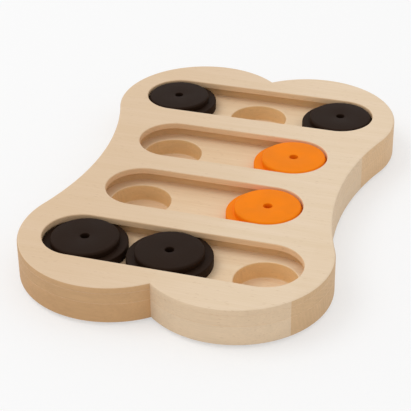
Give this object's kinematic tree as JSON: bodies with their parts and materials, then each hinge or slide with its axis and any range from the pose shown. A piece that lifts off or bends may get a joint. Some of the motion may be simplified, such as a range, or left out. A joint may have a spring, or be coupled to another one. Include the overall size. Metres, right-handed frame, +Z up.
{
  "type": "dog puzzle feeder toy",
  "caption": "Bone-shaped wooden treat board whose captive two-step discs slide along slots to cover and uncover round treat pockets.",
  "frame": {"origin": "centre of the board's outline, on the surface that the pads stand on", "axes": "+X to the right along the tracks, +Y along the board's length to its back, +Z up out of the board's top"},
  "size_m": [0.203, 0.31, 0.0277],
  "materials": {
    "pale_wood": "pale hardwood, sanded, thin clear satin lacquer",
    "dark_lacquer": "turned wood stained near black, satin lacquer",
    "orange_lacquer": "turned wood painted orange, satin lacquer",
    "pad_rubber": "moulded rubber, matte"
  },
  "bodies": {
    "board": {"top_plate": "pale_wood", "guide_plate": "pale_wood", "base_front_stave": "pale_wood", "base_second_stave": "pale_wood", "base_third_stave": "pale_wood", "base_back_stave": "pale_wood", "front_left_pad": "pad_rubber", "front_right_pad": "pad_rubber", "back_left_pad": "pad_rubber", "back_right_pad": "pad_rubber"},
    "front_left_disc": {"front_left_runner": "dark_lacquer", "front_left_cap": "dark_lacquer"},
    "front_middle_disc": {"front_middle_runner": "dark_lacquer", "front_middle_cap": "dark_lacquer"},
    "second_disc": {"second_runner": "orange_lacquer", "second_cap": "orange_lacquer"},
    "third_disc": {"third_runner": "orange_lacquer", "third_cap": "orange_lacquer"},
    "back_left_disc": {"back_left_runner": "dark_lacquer", "back_left_cap": "dark_lacquer"},
    "back_right_disc": {"back_right_runner": "dark_lacquer", "back_right_cap": "dark_lacquer"}
  },
  "joints": [
    {"name": "front_left_slide", "type": "slide", "parent": "board", "child": "front_left_disc", "axis": [1, 0, 0], "range_m": [-0.0045, 0.001]},
    {"name": "front_middle_slide", "type": "slide", "parent": "board", "child": "front_middle_disc", "axis": [1, 0, 0], "range_m": [-0.001, 0.0621]},
    {"name": "second_slide", "type": "slide", "parent": "board", "child": "second_disc", "axis": [1, 0, 0], "range_m": [-0.088, 0]},
    {"name": "third_slide", "type": "slide", "parent": "board", "child": "third_disc", "axis": [1, 0, 0], "range_m": [-0.088, 0]},
    {"name": "back_left_slide", "type": "slide", "parent": "board", "child": "back_left_disc", "axis": [1, 0, 0], "range_m": [0, 0.0676]},
    {"name": "back_right_slide", "type": "slide", "parent": "board", "child": "back_right_disc", "axis": [1, 0, 0], "range_m": [-0.0676, 0]}
  ]
}
